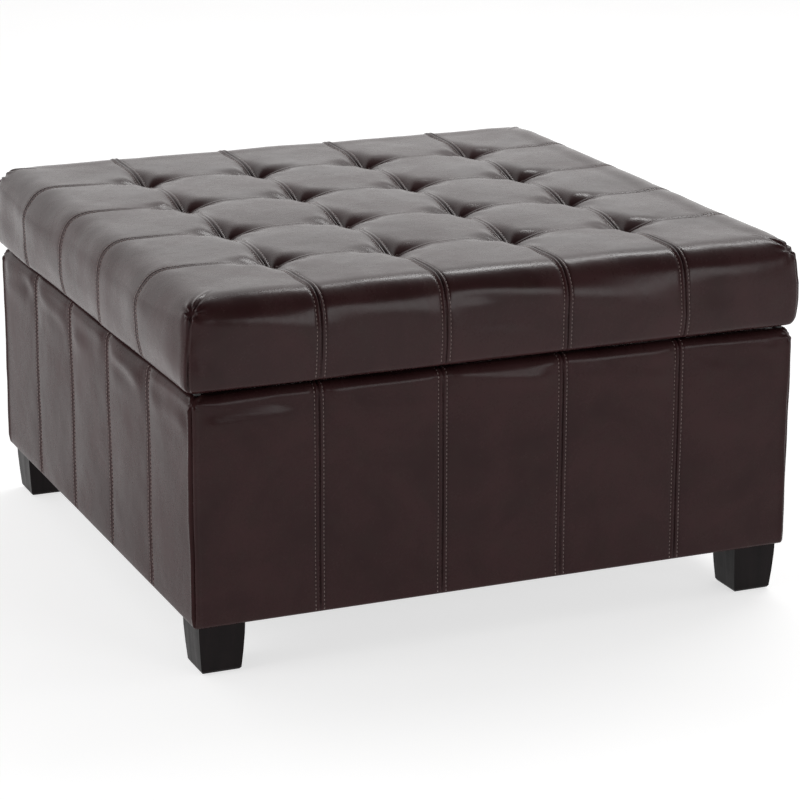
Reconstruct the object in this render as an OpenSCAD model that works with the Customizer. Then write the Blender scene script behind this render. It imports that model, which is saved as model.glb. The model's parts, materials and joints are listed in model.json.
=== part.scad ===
// Square storage ottoman with a tufted, hinged lid.
// The origin is on the floor under the centre of the ottoman. +Z is up and -Y is the front.

/* [Overall] */
// Width and depth of the upholstered base
base_w = 890; // [800:10:1000]
// Height of the base cover's bottom edge above the floor
base_bottom = 70; // [50:1:110]
// Height of the base's top rim above the floor
base_top = 386; // [330:1:430]
// Gap between the base and the closed lid
lid_gap = 6; // [5:0.5:8]
// Thickness of the lid, from its underside to the crown of the cushion
lid_h = 120; // [110:1:140]
// How far the lid stands out past the base on each side
lid_overhang = 5; // [4:0.5:5]

/* [Upholstery] */
// Thickness of the leather
leather = 1.5; // [1:0.1:2]
// Thickness of the padding on the base's walls
padding = 8; // [6:0.5:10]
// Spacing of the seams and of the tufts, both ways
seam_pitch = 178; // [160:1:200]
// Depth of a tuft's dimple below the crown
tuft_depth = 22; // [12:1:28]
// Radius of a tuft's dimple at the crown
tuft_r = 32; // [20:1:40]
// Thickness of the fabric that lines the storage space
lining = 1; // [0.8:0.1:1.5]

/* [Carcase] */
// Thickness of the base's wall panels
panel = 15; // [12:1:18]
// Section of the corner posts
post = 32; // [25:1:40]
// Height of the rails under the floor panel
rail_h = 20; // [16:1:25]
// Width of the rails under the floor panel
rail_w = 60; // [55:1:70]
// Thickness of the storage floor
floor_t = 6.5; // [5:0.5:10]

/* [Lid frame] */
// Width of the lid's rails
lid_rail_w = 60; // [55:1:70]
// Height of the lid's rails
lid_rail_h = 32; // [25:1:36]
// Thickness of the board that carries the cushion
lid_board_t = 12; // [9:1:15]

/* [Feet] */
// Width of a foot where it meets the base
foot_top_w = 65; // [55:1:75]
// Width of a foot at the floor
foot_bottom_w = 56; // [45:1:65]
// How far a foot's outer face sits in from the base
foot_inset = 12; // [8:1:20]

/* [Hinges] */
// Distance of each hinge's middle from the centre line
hinge_x = 260; // [200:5:320]
// Length of a hinge along its pin
hinge_len = 76; // [60:1:90]
// Radius of the hinge pin
hinge_pin_r = 2; // [1.5:0.1:2.4]
// Outer radius of the hinge barrel
barrel_r = 4; // [3.6:0.1:4.2]

/* [Lid stays] */
// Distance from the hinge axis forward to the lid bracket's pivot
stay_reach = 210; // [190:5:240]
// Distance from the hinge axis forward to the base bracket's pivot
stay_base_y = 85; // [82:1:100]
// Distance from the hinge axis down to the base bracket's pivot
stay_base_z = 110; // [90:1:130]
// Width of the stay's flat arms
stay_arm_w = 18; // [16:1:20]
// Thickness of the stay's flat arms
stay_arm_t = 2.5; // [2:0.1:3]

/* [Hidden] */
$fn = 48;

over = 1; // overshoot of a cutting solid past the face it cuts
slot_fit = 0.05; // radial clearance of a turning pin in its hole

// Base, from the outside in. All "in_" values are distances from the centre line.
base_half = base_w / 2;
in_padding = base_half - leather;
in_panel = in_padding - padding;
in_wall = in_panel - panel;
in_lining = in_wall - lining;
rim_in = in_wall - leather;
base_edge_top_r = 11;
base_edge_bottom_r = 9;
base_corner_r = 12;
rim_padding = 4;
panel_z0 = base_bottom + leather;
panel_z1 = base_top - leather - rim_padding;
rail_z1 = panel_z0 + rail_h;
floor_z1 = rail_z1 + floor_t;
turn_down = 40; // how far the rim's leather turns down inside
lining_z1 = base_top - turn_down - leather;
bottom_turn_in = base_half - rim_in; // how far the leather turns in under the base
post_in = in_wall - post;

// Lid
lid_z0 = base_top + lid_gap;
lid_z1 = lid_z0 + lid_h;
lid_half = base_half + lid_overhang;
lid_edge_w = 55;
lid_edge_h = 62;
lid_edge_bottom_r = 12;
lid_corner_r = 18;
lid_frame_half = lid_half - 14;
lid_rail_z0 = lid_z0 + leather;
lid_board_z0 = lid_rail_z0 + lid_rail_h;
lid_board_z1 = lid_board_z0 + lid_board_t;
lid_turn_in = 50; // how far the leather turns in under the lid
lid_lining_half = lid_half - lid_turn_in + 12;
tuft_hole_r = 2;
tie_r = 1.6;
tie_washer_r = 9;
tie_washer_t = 3;
dimple_floor_r = 5;

// Feet
foot_c = base_half - foot_inset - foot_top_w / 2;
glide_h = 1.5;
glide_r = 13;
glide_bevel = 0.5;
glide_shank_r = 2;
glide_shank_z1 = 11.5;
foot_bolt_r = 4;
foot_bolt_z0 = 30;
insert_r = 6.5;
insert_h = rail_h - 2;
// Right half of a foot's side view, from the floor up: a straight taper that curves in near the floor
foot_half = let (t = foot_top_w / 2, b = foot_bottom_w / 2, top = base_bottom)
    [[b - 2, glide_h], [b, glide_h + 3], [b + 2.2, top * 0.4], [t - 0.6, top * 0.75], [t, top]];
foot_outline = concat(foot_half, [for (i = [len(foot_half) - 1:-1:0]) [-foot_half[i][0], foot_half[i][1]]]);

// Hinges. Their common axis runs along X.
hinge_y = base_half + 1;
hinge_z = base_top + lid_gap / 2;
leaf_t = 1.5;
leaf_y1 = hinge_y - barrel_r - 0.5; // the leaves stay clear of each other's knuckles
leaf_depth = 21;
knuckles = 5;
knuckle_gap = 0.4;
hinge_screw_y = (in_panel + in_wall) / 2;
hinge_screw_pitch = 26;
screw_r = 2;
screw_head_r = 3.8;
screw_len = 20;
screw_tip = 3;

// Lid stays, in planes across X. "stay_x" values are distances from the centre line.
stay_pin_r = 3;
stay_plate_t = 2;
stay_gap = 0.5;
stay_plate_x = in_lining - stay_plate_t;
lower_arm_x = stay_plate_x - stay_gap - stay_arm_t;
upper_arm_x = lower_arm_x - stay_gap - stay_arm_t;
lid_ear_x = upper_arm_x - stay_gap - stay_arm_t;
pin_head_t = 1.5;
pin_head_r = 5;
elbow_clearance = 0.3; // the linkage is open here, so the hole is wider than the pin
lid_pivot_drop = 14; // lid bracket's pivot below the hinge axis
base_pivot = [hinge_y - stay_base_y, hinge_z - stay_base_z];
lid_pivot = [hinge_y - stay_reach, hinge_z - lid_pivot_drop];
elbow = lid_pivot + base_pivot - [hinge_y, hinge_z];
bracket_flange_in = 24;
lid_flange_z1 = lid_z0 - lining;
lid_bracket_half = 24;
base_bracket_w = 22;
base_screw_dz = 16;
base_screw_len = 15;
lid_screw_dy = 15;

// Colours
leather_colour = [0.17, 0.12, 0.12];
wood_colour = [0.76, 0.62, 0.44];
board_colour = [0.70, 0.58, 0.42];
foam_colour = [0.93, 0.89, 0.75];
fabric_colour = [0.10, 0.10, 0.11];
foot_colour = [0.06, 0.05, 0.05];
steel_colour = [0.72, 0.73, 0.75];
pin_colour = [0.60, 0.61, 0.63];
plastic_colour = [0.85, 0.84, 0.80];
rubber_colour = [0.08, 0.08, 0.08];

// ---------- helpers ----------

// Points of an elliptical arc about c, from angle a0 to a1
function arc(c, rx, ry, a0, a1, steps = 6) =
    [for (i = [0:steps]) let (a = a0 + (a1 - a0) * i / steps) [c[0] + rx * cos(a), c[1] + ry * sin(a)]];

// Half of an upholstered block's outline, mirrored to make the whole
function block_outline(half, z0, z1, edge_w, edge_h, bottom_r) =
    let (right = concat(
        arc([half - bottom_r, z0 + bottom_r], bottom_r, bottom_r, -90, 0, 4),
        arc([half - edge_w, z1 - edge_h], edge_w, edge_h, 0, 90, 9)))
    concat(right, [for (i = [len(right) - 1:-1:0]) [-right[i][0], right[i][1]]]);

function rounded_square(half, r) =
    concat(arc([half - r, -half + r], r, r, -90, 0), arc([half - r, half - r], r, r, 0, 90),
        arc([-half + r, half - r], r, r, 90, 180), arc([-half + r, -half + r], r, r, 180, 270));

// Solid square block with rounded upper and lower edges and rounded corners
module soft_block(half, z0, z1, edge_w, edge_h, bottom_r, corner_r) {
    outline = block_outline(half, z0, z1, edge_w, edge_h, bottom_r);
    intersection() {
        rotate([90, 0, 0]) translate([0, 0, -half]) linear_extrude(2 * half) polygon(outline);
        rotate([90, 0, 90]) translate([0, 0, -half]) linear_extrude(2 * half) polygon(outline);
        translate([0, 0, z0]) linear_extrude(z1 - z0) polygon(rounded_square(half, corner_r));
    }
}

module base_block(inset) {
    soft_block(base_half - inset, base_bottom + inset, base_top - inset, base_edge_top_r - inset,
        base_edge_top_r - inset, base_edge_bottom_r - inset, base_corner_r - inset);
}

module lid_block(inset) {
    soft_block(lid_half - inset, lid_z0 + inset, lid_z1 - inset, lid_edge_w - inset,
        lid_edge_h - inset, lid_edge_bottom_r - inset, lid_corner_r - inset);
}

// Square slab about the centre line
module slab(half, z0, z1) {
    translate([-half, -half, z0]) cube([2 * half, 2 * half, z1 - z0]);
}

// Box from its lowest to its highest corner
module span_box(lo, hi) {
    translate(lo) cube(hi - lo);
}

// The quarter of space in front of the centre (turn 0), right (90), back (180) or left (270)
module quarter(turn, z0, z1) {
    reach = 2 * base_half;
    rotate([0, 0, turn]) translate([0, 0, z0]) linear_extrude(z1 - z0)
        polygon([[0, 0], [-reach, -reach], [reach, -reach]]);
}

module at_each_corner(c) {
    for (sx = [-1, 1], sy = [-1, 1]) translate([sx * c, sy * c, 0]) children();
}

// Draws the child for the right side and its mirror image for the left
module both_sides() {
    children();
    mirror([1, 0, 0]) children();
}

module on_side(side) {
    if (side > 0) children();
    else mirror([1, 0, 0]) children();
}

// Cylinder along X from x0 to x1, through the point p of the YZ plane
module rod_x(p, x0, x1, r) {
    translate([x0, p[0], p[1]]) rotate([0, 90, 0]) cylinder(h = x1 - x0, r = r);
}

module at_tufts() {
    for (i = [-1.5:1.5], j = [-1.5:1.5]) translate([i * seam_pitch, j * seam_pitch, 0]) children();
}

module at_hinge_screws() {
    for (i = [-1:1]) translate([hinge_x + i * hinge_screw_pitch, hinge_screw_y, 0]) children();
}

// Countersunk wood screw, head up at z = 0
module wood_screw(len) {
    translate([0, 0, -leaf_t]) cylinder(h = leaf_t, r1 = screw_r, r2 = screw_head_r);
    translate([0, 0, screw_tip - len]) cylinder(h = len - leaf_t - screw_tip, r = screw_r);
    translate([0, 0, -len]) cylinder(h = screw_tip, r1 = 0.4, r2 = screw_r);
}

// ---------- carcase ----------

module front_panel() {
    color(board_colour) wall_panel(-1);
}

module back_panel() {
    color(board_colour) difference() {
        wall_panel(1);
        both_sides() at_hinge_screws() translate([0, 0, base_top + leaf_t - screw_len])
            cylinder(h = screw_len, r = screw_r + slot_fit);
    }
}

// Front (sy = -1) or back (sy = 1) wall
module wall_panel(sy) {
    span_box([-in_panel, sy > 0 ? in_wall : -in_panel, panel_z0],
        [in_panel, sy > 0 ? in_panel : -in_wall, panel_z1]);
}

module right_side_panel() {
    difference() {
        span_box([in_wall, -in_wall, panel_z0], [in_panel, in_wall, panel_z1]);
        at_stay_base_screws() cylinder(h = screw_len, r = screw_r + slot_fit);
    }
}

module left_panel() {
    color(board_colour) mirror([1, 0, 0]) right_side_panel();
}

module right_panel() {
    color(board_colour) right_side_panel();
}

module floor_panel() {
    color(board_colour) difference() {
        slab(in_wall, rail_z1, floor_z1);
        post_spaces(post_in, rail_z1 - over, floor_z1 + over);
    }
}

module bottom_rail_end(sy) {
    difference() {
        span_box([-in_wall, sy > 0 ? in_wall - rail_w : -in_wall, panel_z0],
            [in_wall, sy > 0 ? in_wall : -in_wall + rail_w, rail_z1]);
        at_each_corner(foot_c) translate([0, 0, panel_z0 - over])
            cylinder(h = insert_h + over, r = insert_r);
    }
}

module bottom_rail_side(sx) {
    span_box([sx > 0 ? in_wall - rail_w : -in_wall, -in_wall + rail_w, panel_z0],
        [sx > 0 ? in_wall : -in_wall + rail_w, in_wall - rail_w, rail_z1]);
}

module bottom_rail_front() {
    color(wood_colour) bottom_rail_end(-1);
}

module bottom_rail_back() {
    color(wood_colour) bottom_rail_end(1);
}

module bottom_rail_left() {
    color(wood_colour) bottom_rail_side(-1);
}

module bottom_rail_right() {
    color(wood_colour) bottom_rail_side(1);
}

module corner_post(sx, sy) {
    color(wood_colour) mirror([sx < 0 ? 1 : 0, 0, 0]) mirror([0, sy < 0 ? 1 : 0, 0])
        span_box([post_in, post_in, rail_z1], [in_wall, in_wall, lining_z1 - lining]);
}

module corner_post_front_left() { corner_post(-1, -1); }
module corner_post_front_right() { corner_post(1, -1); }
module corner_post_back_left() { corner_post(-1, 1); }
module corner_post_back_right() { corner_post(1, 1); }

// ---------- base upholstery ----------

// Ring of padding round the walls and over their top edges
module base_padding() {
    color(foam_colour) difference() {
        base_block(leather);
        slab(in_panel, 0, panel_z1);
        slab(in_wall, 0, base_top + over);
        hinge_screw_holes();
    }
}

module hinge_screw_holes() {
    both_sides() at_hinge_screws() translate([0, 0, panel_z1 - over])
        cylinder(h = base_top - panel_z1 + 2 * over, r = screw_r + slot_fit);
}

// The leather of one side: outer wall, rim, turn-down inside and turned-in bottom hem
module base_cover(turn) {
    color(leather_colour) difference() {
        intersection() {
            union() {
                difference() {
                    base_block(0);
                    base_block(leather);
                }
                slab(in_wall, base_top - turn_down - leather, base_top - leather);
            }
            quarter(turn, 0, base_top + over);
        }
        slab(rim_in, base_bottom + 10, base_top + over);
        slab(base_half - bottom_turn_in, base_bottom - over, base_bottom + 11);
        if (turn == 180) hinge_screw_holes();
    }
}

module base_cover_front() { base_cover(0); }
module base_cover_right() { base_cover(90); }
module base_cover_back() { base_cover(180); }
module base_cover_left() { base_cover(270); }

// Drop-in liner of the storage space, which wraps round the corner posts
module storage_lining() {
    color(fabric_colour) difference() {
        slab(in_wall, floor_z1, lining_z1);
        difference() {
            slab(in_lining, floor_z1 + lining, lining_z1 + over);
            post_spaces(post_in - lining, floor_z1, lining_z1);
        }
        post_spaces(post_in, floor_z1 - over, lining_z1 - lining);
    }
}

module post_spaces(start, z0, z1) {
    for (sx = [0, 1], sy = [0, 1]) mirror([sx, 0, 0]) mirror([0, sy, 0])
        span_box([start, start, z0], [in_wall + over, in_wall + over, z1]);
}

module dust_cover() {
    color(fabric_colour) difference() {
        slab(base_half - bottom_turn_in, panel_z0 - lining, panel_z0);
        at_each_corner(foot_c) cylinder(h = base_top, r = foot_bolt_r + 1);
    }
}

// ---------- feet ----------

module foot_side_view() {
    rotate([90, 0, 0]) translate([0, 0, -foot_top_w / 2]) linear_extrude(foot_top_w) polygon(foot_outline);
}

module foot(sx, sy) {
    color(foot_colour) translate([sx * foot_c, sy * foot_c, 0]) difference() {
        intersection() {
            foot_side_view();
            rotate([0, 0, 90]) foot_side_view();
        }
        translate([0, 0, foot_bolt_z0]) cylinder(h = base_bottom, r = foot_bolt_r);
        cylinder(h = glide_shank_z1, r = glide_shank_r);
    }
}

module foot_front_left() { foot(-1, -1); }
module foot_front_right() { foot(1, -1); }
module foot_back_left() { foot(-1, 1); }
module foot_back_right() { foot(1, 1); }

module foot_bolts() {
    color(steel_colour) at_each_corner(foot_c) translate([0, 0, foot_bolt_z0])
        cylinder(h = panel_z0 + insert_h - foot_bolt_z0, r = foot_bolt_r);
}

module foot_inserts() {
    color(steel_colour) at_each_corner(foot_c) translate([0, 0, panel_z0]) difference() {
        cylinder(h = insert_h, r = insert_r);
        translate([0, 0, -over]) cylinder(h = insert_h + 2 * over, r = foot_bolt_r);
    }
}

module foot_glides() {
    color(plastic_colour) at_each_corner(foot_c) {
        cylinder(h = glide_bevel, r1 = glide_r - glide_bevel, r2 = glide_r);
        translate([0, 0, glide_bevel]) cylinder(h = glide_h - glide_bevel, r = glide_r);
        cylinder(h = glide_shank_z1, r = glide_shank_r);
    }
}

// ---------- hinges ----------

// Knuckles first, first + 2 ... of one hinge, joined to a leaf at height z0 above the axis
module hinge_leaf(first, leaf_z0, hole_r) {
    pitch = hinge_len / knuckles;
    x0 = hinge_x - hinge_len / 2;
    difference() {
        union() {
            for (i = [first:2:knuckles - 1]) {
                rod_x([hinge_y, hinge_z], x0 + i * pitch + knuckle_gap / 2,
                    x0 + (i + 1) * pitch - knuckle_gap / 2, barrel_r);
                span_box([x0 + i * pitch + knuckle_gap / 2, leaf_y1 - over, leaf_z0],
                    [x0 + (i + 1) * pitch - knuckle_gap / 2, hinge_y, leaf_z0 + leaf_t]);
            }
            span_box([x0, leaf_y1 - leaf_depth, leaf_z0], [x0 + hinge_len, leaf_y1, leaf_z0 + leaf_t]);
        }
        rod_x([hinge_y, hinge_z], x0 - over, x0 + hinge_len + over, hole_r);
    }
}

module hinge_base_leaf(side) {
    color(steel_colour) on_side(side) difference() {
        hinge_leaf(0, base_top, hinge_pin_r);
        at_hinge_screws() translate([0, 0, base_top]) cylinder(h = leaf_t, r1 = screw_r, r2 = screw_head_r);
    }
}

module hinge_lid_leaf(side) {
    color(steel_colour) on_side(side) difference() {
        hinge_leaf(1, lid_z0 - leaf_t, hinge_pin_r + slot_fit);
        at_hinge_screws() translate([0, 0, lid_z0 - leaf_t])
            cylinder(h = leaf_t, r1 = screw_head_r, r2 = screw_r);
    }
}

module hinge_base_leaf_left() { hinge_base_leaf(-1); }
module hinge_base_leaf_right() { hinge_base_leaf(1); }
module hinge_lid_leaf_left() { hinge_lid_leaf(-1); }
module hinge_lid_leaf_right() { hinge_lid_leaf(1); }

module hinge_pins() {
    color(pin_colour) both_sides() {
        rod_x([hinge_y, hinge_z], hinge_x - hinge_len / 2, hinge_x + hinge_len / 2, hinge_pin_r);
        for (end = [-1, 1]) rod_x([hinge_y, hinge_z], hinge_x + end * (hinge_len / 2 + 0.5) - 0.5,
            hinge_x + end * (hinge_len / 2 + 0.5) + 0.5, hinge_pin_r + 0.8);
    }
}

module hinge_base_screws() {
    color(steel_colour) both_sides() at_hinge_screws() translate([0, 0, base_top + leaf_t])
        wood_screw(screw_len);
}

module hinge_lid_screws() {
    color(steel_colour) both_sides() at_hinge_screws() translate([0, 0, lid_z0 - leaf_t])
        mirror([0, 0, 1]) wood_screw(screw_len);
}

// ---------- lid stays ----------

// Flat bar with round ends between two points of the YZ plane, from x0 to x0 + t, with no holes
module flat_bar(a, b, x0, t, w) {
    length = norm(b - a);
    angle = atan2(b[1] - a[1], b[0] - a[0]);
    translate([x0, a[0], a[1]]) rotate([90, 0, 90]) rotate([0, 0, angle]) linear_extrude(t) {
        circle(d = w);
        translate([length, 0]) circle(d = w);
        translate([0, -w / 2]) square([length, w]);
    }
}

// Turns the child's +Z to point away from the centre line, at each screw of the right base bracket
module at_stay_base_screws() {
    for (dz = [-base_screw_dz, base_screw_dz])
        translate([stay_plate_x, base_pivot[0], base_pivot[1] + dz]) rotate([0, 90, 0]) children();
}

module stay_base_bracket(side) {
    color(steel_colour) on_side(side) difference() {
        flat_bar(base_pivot - [0, base_screw_dz], base_pivot + [0, base_screw_dz], stay_plate_x, stay_plate_t,
            base_bracket_w);
        rod_x(base_pivot, stay_plate_x - over, in_lining + over, stay_pin_r);
        at_stay_base_screws() {
            cylinder(h = leaf_t, r1 = screw_head_r, r2 = screw_r);
            cylinder(h = 2 * stay_plate_t, r = screw_r);
        }
    }
}

module stay_base_bracket_left() { stay_base_bracket(-1); }
module stay_base_bracket_right() { stay_base_bracket(1); }

module stay_base_screws() {
    color(steel_colour) both_sides() at_stay_base_screws() mirror([0, 0, 1]) wood_screw(base_screw_len);
}

// Rivet that turns in the hole of an arm: a shank with a head on the side away from the plate that holds it
module pivot_pin(p, x0, x1, head_x) {
    rod_x(p, x0, x1, stay_pin_r);
    rod_x(p, head_x, head_x + pin_head_t, pin_head_r);
}

module stay_base_pins() {
    head_x = lower_arm_x - 0.2 - pin_head_t;
    color(pin_colour) both_sides() pivot_pin(base_pivot, head_x, in_lining, head_x);
}

module stay_lower_arm(side) {
    color(steel_colour) on_side(side) difference() {
        flat_bar(base_pivot, elbow, lower_arm_x, stay_arm_t, stay_arm_w);
        rod_x(base_pivot, lower_arm_x - over, stay_plate_x, stay_pin_r + slot_fit);
        rod_x(elbow, lower_arm_x - over, stay_plate_x, stay_pin_r);
    }
}

module stay_elbow_pin(side) {
    head_x = upper_arm_x - 0.2 - pin_head_t;
    color(pin_colour) on_side(side) pivot_pin(elbow, head_x, lower_arm_x + stay_arm_t, head_x);
}

module stay_upper_arm(side) {
    color(steel_colour) on_side(side) difference() {
        flat_bar(lid_pivot, elbow, upper_arm_x, stay_arm_t, stay_arm_w);
        rod_x(lid_pivot, upper_arm_x - over, lower_arm_x, stay_pin_r + slot_fit);
        rod_x(elbow, upper_arm_x - over, lower_arm_x, stay_pin_r + elbow_clearance);
    }
}

module stay_lower_arm_left() { stay_lower_arm(-1); }
module stay_lower_arm_right() { stay_lower_arm(1); }
module stay_upper_arm_left() { stay_upper_arm(-1); }
module stay_upper_arm_right() { stay_upper_arm(1); }
module stay_elbow_pin_left() { stay_elbow_pin(-1); }
module stay_elbow_pin_right() { stay_elbow_pin(1); }

// Angle bracket: a flange screwed up into the lid's rail and an ear that holds the pivot
module stay_lid_bracket(side) {
    ear_x1 = lid_ear_x + stay_arm_t;
    flange_y0 = lid_pivot[0] - lid_bracket_half;
    flange_y1 = lid_pivot[0] + lid_bracket_half;
    color(steel_colour) on_side(side) difference() {
        union() {
            span_box([ear_x1 - bracket_flange_in, flange_y0, lid_flange_z1 - stay_plate_t],
                [ear_x1, flange_y1, lid_flange_z1]);
            flat_bar(lid_pivot, [lid_pivot[0], lid_flange_z1], lid_ear_x, stay_arm_t, stay_arm_w);
        }
        span_box([lid_ear_x - over, flange_y0, lid_flange_z1],
            [ear_x1 + over, flange_y1, lid_flange_z1 + stay_arm_w]);
        rod_x(lid_pivot, lid_ear_x - over, upper_arm_x, stay_pin_r);
        at_stay_lid_screws() {
            cylinder(h = leaf_t, r1 = screw_head_r, r2 = screw_r);
            cylinder(h = 2 * stay_plate_t, r = screw_r);
        }
    }
}

module at_stay_lid_screws() {
    screw_x = lid_ear_x - bracket_flange_in / 2 + 1;
    for (dy = [-lid_screw_dy, lid_screw_dy])
        translate([screw_x, lid_pivot[0] + dy, lid_flange_z1 - stay_plate_t]) children();
}

module stay_lid_bracket_left() { stay_lid_bracket(-1); }
module stay_lid_bracket_right() { stay_lid_bracket(1); }

module stay_lid_pins() {
    head_x = upper_arm_x + stay_arm_t + 0.1;
    color(pin_colour) both_sides() {
        rod_x(lid_pivot, lid_ear_x, head_x, stay_pin_r);
        rod_x(lid_pivot, head_x, head_x + pin_head_t, pin_head_r);
    }
}

module stay_lid_screws() {
    color(steel_colour) both_sides() at_stay_lid_screws() mirror([0, 0, 1]) wood_screw(screw_len);
}

// ---------- lid ----------

module lid_screw_holes() {
    both_sides() {
        at_hinge_screws() translate([0, 0, lid_z0 - over]) cylinder(h = screw_len, r = screw_r + slot_fit);
        at_stay_lid_screws() cylinder(h = screw_len, r = screw_r + slot_fit);
    }
}

module lid_rail_end(sy) {
    difference() {
        span_box([-lid_frame_half, sy > 0 ? lid_frame_half - lid_rail_w : -lid_frame_half, lid_rail_z0],
            [lid_frame_half, sy > 0 ? lid_frame_half : -lid_frame_half + lid_rail_w, lid_board_z0]);
        lid_screw_holes();
    }
}

module lid_rail_side(sx) {
    inner = lid_frame_half - lid_rail_w;
    difference() {
        span_box([sx > 0 ? inner : -lid_frame_half, -inner, lid_rail_z0],
            [sx > 0 ? lid_frame_half : -inner, inner, lid_board_z0]);
        lid_screw_holes();
    }
}

module lid_rail_front() {
    color(wood_colour) lid_rail_end(-1);
}

module lid_rail_back() {
    color(wood_colour) lid_rail_end(1);
}

module lid_rail_left() {
    color(wood_colour) lid_rail_side(-1);
}

module lid_rail_right() {
    color(wood_colour) lid_rail_side(1);
}

module lid_board() {
    color(board_colour) difference() {
        slab(lid_frame_half, lid_board_z0, lid_board_z1);
        at_tufts() translate([0, 0, lid_board_z0 - over])
            cylinder(h = lid_board_t + 2 * over, r = tuft_hole_r);
    }
}

// Cone that dents the crown at each tuft, inset below the leather's outer face
module dimples(inset) {
    at_tufts() translate([0, 0, lid_z1 - inset - tuft_depth])
        cylinder(h = tuft_depth + over, r1 = dimple_floor_r, r2 = dimple_floor_r
            + (tuft_r - dimple_floor_r) * (tuft_depth + over) / tuft_depth);
}

module lid_foam() {
    color(foam_colour) difference() {
        lid_block(leather);
        slab(lid_half, 0, lid_board_z1);
        dimples(leather);
        at_tufts() translate([0, 0, lid_board_z1 - over]) cylinder(h = lid_h, r = tuft_hole_r);
    }
}

// Ring of padding round the lid's frame
module lid_side_padding() {
    color(foam_colour) difference() {
        lid_block(leather);
        slab(lid_frame_half, 0, lid_z1);
        slab(lid_half, lid_board_z1, lid_z1);
    }
}

module lid_cover() {
    color(leather_colour) difference() {
        lid_block(0);
        difference() {
            lid_block(leather);
            dimples(leather);
        }
        dimples(0);
        slab(lid_half - lid_turn_in, lid_z0 - over, lid_z0 + 2 * leather);
        lid_screw_holes();
    }
}

module lid_lining() {
    color(fabric_colour) difference() {
        slab(lid_lining_half, lid_z0 - lining, lid_z0);
        lid_screw_holes();
    }
}

// A twine from the leather at each dimple's floor down to a washer under the board
module tuft_ties() {
    washer_z0 = lid_board_z0 - tie_washer_t;
    color(fabric_colour) at_tufts() translate([0, 0, washer_z0]) {
        cylinder(h = lid_z1 - leather - tuft_depth - washer_z0, r = tie_r);
        cylinder(h = tie_washer_t, r = tie_washer_r);
    }
}

module lid_bumpers() {
    color(rubber_colour) at_each_corner(hinge_screw_y - 1) translate([0, 0, base_top + 0.4])
        cylinder(h = lid_gap - 0.4, r = 5);
}

// ---------- assembly ----------

front_panel();
back_panel();
left_panel();
right_panel();
floor_panel();
bottom_rail_front();
bottom_rail_back();
bottom_rail_left();
bottom_rail_right();
corner_post_front_left();
corner_post_front_right();
corner_post_back_left();
corner_post_back_right();
base_padding();
base_cover_front();
base_cover_back();
base_cover_left();
base_cover_right();
storage_lining();
dust_cover();
foot_front_left();
foot_front_right();
foot_back_left();
foot_back_right();
foot_bolts();
foot_inserts();
foot_glides();
hinge_base_leaf_left();
hinge_base_leaf_right();
hinge_pins();
hinge_base_screws();
stay_base_bracket_left();
stay_base_bracket_right();
stay_base_pins();
stay_base_screws();
lid_board();
lid_rail_front();
lid_rail_back();
lid_rail_left();
lid_rail_right();
lid_foam();
lid_side_padding();
lid_cover();
lid_lining();
tuft_ties();
lid_bumpers();
hinge_lid_leaf_left();
hinge_lid_leaf_right();
hinge_lid_screws();
stay_lid_bracket_left();
stay_lid_bracket_right();
stay_lid_pins();
stay_lid_screws();
stay_lower_arm_left();
stay_lower_arm_right();
stay_upper_arm_left();
stay_upper_arm_right();
stay_elbow_pin_left();
stay_elbow_pin_right();
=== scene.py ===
"""Looks of a square storage ottoman with a tufted, hinged lid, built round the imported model.

Everything is in metres in the model's own frame: +Z is up, -Y is the front.
"""

import json
import math

import bpy
import numpy as np
from mathutils import Matrix, Vector


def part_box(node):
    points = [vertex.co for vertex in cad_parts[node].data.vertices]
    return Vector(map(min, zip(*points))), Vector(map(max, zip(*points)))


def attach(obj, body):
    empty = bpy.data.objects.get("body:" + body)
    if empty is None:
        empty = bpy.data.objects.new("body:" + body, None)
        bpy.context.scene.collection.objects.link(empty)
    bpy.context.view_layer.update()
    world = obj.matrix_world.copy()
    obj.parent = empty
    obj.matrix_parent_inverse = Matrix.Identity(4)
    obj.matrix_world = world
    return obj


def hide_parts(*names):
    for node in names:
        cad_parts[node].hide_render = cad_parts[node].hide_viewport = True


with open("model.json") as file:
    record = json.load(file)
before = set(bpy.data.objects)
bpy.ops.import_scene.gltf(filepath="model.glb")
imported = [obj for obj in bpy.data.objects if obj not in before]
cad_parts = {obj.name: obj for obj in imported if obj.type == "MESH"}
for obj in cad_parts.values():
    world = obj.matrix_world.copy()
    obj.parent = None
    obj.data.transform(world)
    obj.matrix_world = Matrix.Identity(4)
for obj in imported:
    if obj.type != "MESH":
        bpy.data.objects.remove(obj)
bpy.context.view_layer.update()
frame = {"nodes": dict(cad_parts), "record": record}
MM = 0.001

# ---------- sizes, from the frame ----------

LID_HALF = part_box("lid_cover")[1].x
LID_Z0, LID_Z1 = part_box("lid_cover")[0].z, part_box("lid_cover")[1].z
BASE_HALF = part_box("base_cover_front")[1].x
BASE_Z0, BASE_Z1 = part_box("base_cover_front")[0].z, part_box("base_cover_front")[1].z
RIM_IN = -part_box("base_cover_front")[1].y
LEATHER = 1.4 * MM
PANELS = 5
PITCH = 2 * BASE_HALF / PANELS
SEAMS = [(i + 1 - PANELS / 2) * PITCH for i in range(PANELS - 1)]

# Lid cushion
EDGE_W, EDGE_H, EDGE_FULLNESS = 54 * MM, 60 * MM, 2.9
LID_HEM_R = 12 * MM
LID_CORNER_R = 18 * MM
LID_TUCK = 50 * MM
PIT_DEPTH = 23 * MM
PIT_REACH_LONG, PIT_REACH_CROSS, PIT_REACH_DIAGONAL = 80 * MM, 68 * MM, 43 * MM
PUFF = 0.4 * MM
VALLEY = 0.6 * MM

# Topstitched seams
ROW = 6 * MM
RIDGE, GROOVE = 1.9 * MM, 1.6 * MM
STITCH_PITCH, STITCH_LENGTH, THREAD_R = 5.6 * MM, 4.0 * MM, 0.68 * MM

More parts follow.
